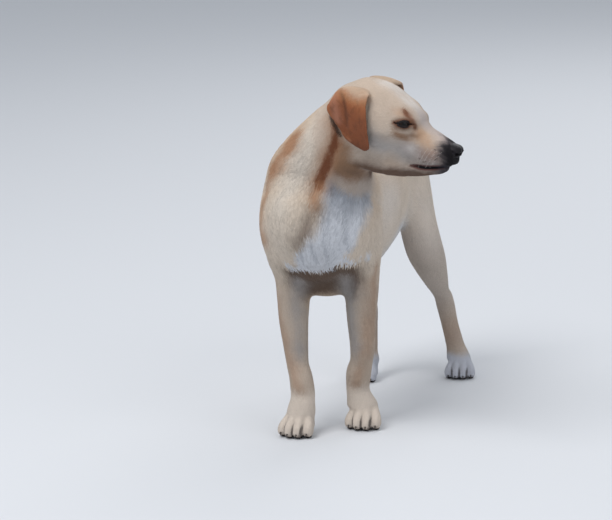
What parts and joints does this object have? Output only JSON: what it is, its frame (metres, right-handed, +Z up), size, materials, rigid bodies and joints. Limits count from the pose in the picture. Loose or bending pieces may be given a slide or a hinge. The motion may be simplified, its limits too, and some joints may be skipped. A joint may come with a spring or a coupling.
{
  "type": "dog",
  "caption": "Life-size still model of a standing short-coated dog, its head turned to its left; rests on its paws.",
  "frame": {"origin": "middle of the floor under the dog's overall box", "axes": "+Z up, the dog's body faces -Y and its own left side is towards +X"},
  "size_m": [0.392, 0.6354, 0.6457],
  "materials": {
    "coat": "short dense fur, cream and tan",
    "ear": "short velvety fur, orange-brown",
    "paw": "short fur, cream-white",
    "nose": "moist, finely pebbled, black",
    "eye": "wet gloss, dark brown",
    "claw": "horn, dark, slightly glossy",
    "pad": "dry rough skin, dark"
  },
  "bodies": {
    "root": {"trunk": "coat", "neck": "coat", "head": "coat", "lower_jaw": "coat", "nose": "nose", "eye_left": "eye", "eye_right": "eye", "ear_left": "ear", "ear_right": "ear", "foreleg_left": "coat", "foreleg_right": "coat", "forepaw_left": "paw", "forepaw_right": "paw", "hindleg_left": "coat", "hindleg_right": "coat", "hindpaw_left": "paw", "hindpaw_right": "paw", "tail": "coat"}
  },
  "joints": []
}
